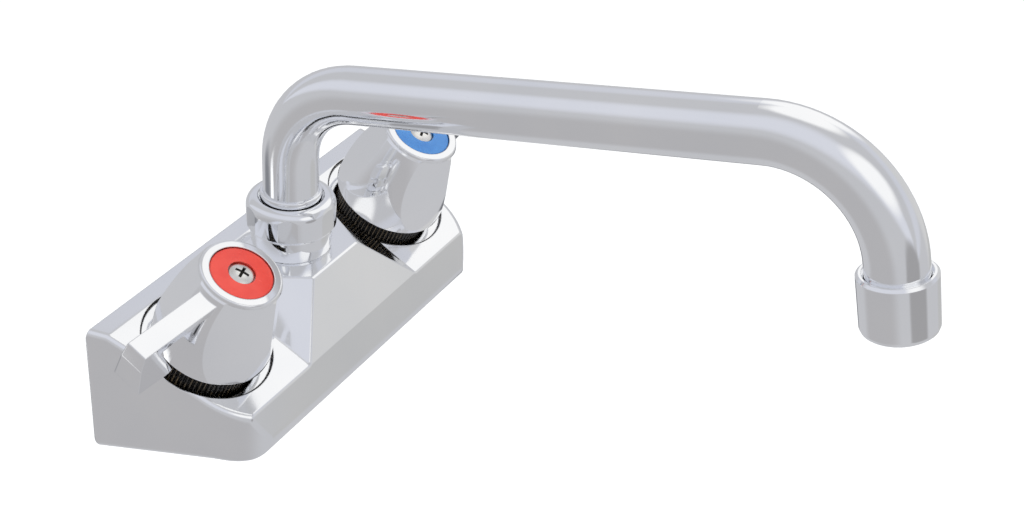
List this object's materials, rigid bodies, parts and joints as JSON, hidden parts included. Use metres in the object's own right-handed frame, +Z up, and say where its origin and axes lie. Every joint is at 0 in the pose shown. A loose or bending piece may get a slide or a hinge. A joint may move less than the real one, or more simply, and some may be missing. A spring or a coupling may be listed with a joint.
{
  "type": "wall faucet",
  "caption": "Wall-mounted kitchen faucet with a long swinging tube spout, quarter-turn lever handles on a sloping chrome body and an aerator outlet.",
  "frame": {"origin": "on the wall plane, at the middle of the flat back of the body, midway between the two inlets and at their height", "axes": "+X along the wall towards the cold side, +Y into the wall, +Z up; the faucet stands out towards -Y"},
  "size_m": [0.1872, 0.2324, 0.1457],
  "materials": {
    "body_chrome": "polished plate on a cast body",
    "handle_chrome": "polished plate on cast handles",
    "spout_chrome": "polished plate on drawn tube",
    "valve_brass": "machined",
    "collar_dark": "fine ribs, slightly glossy",
    "disc_ceramic": "lapped",
    "seal_rubber": "smooth",
    "hot_index": "smooth",
    "cold_index": "smooth",
    "screw_steel": "turned",
    "insert_plastic": "moulded",
    "screen_steel": "woven mesh"
  },
  "bodies": {
    "base": {"faucet_body": "body_chrome", "hot_seat_seal": "seal_rubber", "hot_fixed_disc": "disc_ceramic", "hot_cartridge": "valve_brass", "hot_bonnet_o_ring": "seal_rubber", "hot_stem_o_ring": "seal_rubber", "hot_ribbed_collar": "collar_dark", "cold_seat_seal": "seal_rubber", "cold_fixed_disc": "disc_ceramic", "cold_cartridge": "valve_brass", "cold_bonnet_o_ring": "seal_rubber", "cold_stem_o_ring": "seal_rubber", "cold_ribbed_collar": "collar_dark", "swivel_base": "body_chrome", "upper_spout_o_ring": "seal_rubber", "lower_spout_o_ring": "seal_rubber", "spout_nut": "body_chrome"},
    "hot_valve": {"hot_moving_disc": "disc_ceramic", "hot_stem": "valve_brass", "hot_handle": "handle_chrome", "hot_index_disc": "hot_index", "hot_handle_screw": "screw_steel"},
    "cold_valve": {"cold_moving_disc": "disc_ceramic", "cold_stem": "valve_brass", "cold_handle": "handle_chrome", "cold_index_disc": "cold_index", "cold_handle_screw": "screw_steel"},
    "spout": {"spout_collar": "valve_brass", "spout_tube": "spout_chrome", "aerator_housing": "spout_chrome", "aerator_washer": "seal_rubber", "aerator_insert": "insert_plastic", "aerator_screen": "screen_steel"}
  },
  "joints": [
    {"name": "spout_swivel", "type": "hinge", "parent": "base", "child": "spout", "pos_m": [0, -0.0219, 0.045], "axis": [0, 0, 1], "range_deg": [-90, 90]},
    {"name": "hot_turn", "type": "hinge", "parent": "base", "child": "hot_valve", "pos_m": [-0.0508, -0.0259, 0.01858], "axis": [0, -0.4083, 0.9128], "range_deg": [0, 90]},
    {"name": "cold_turn", "type": "hinge", "parent": "base", "child": "cold_valve", "pos_m": [0.0508, -0.0259, 0.01858], "axis": [0, 0.4083, -0.9128], "range_deg": [0, 90]}
  ]
}
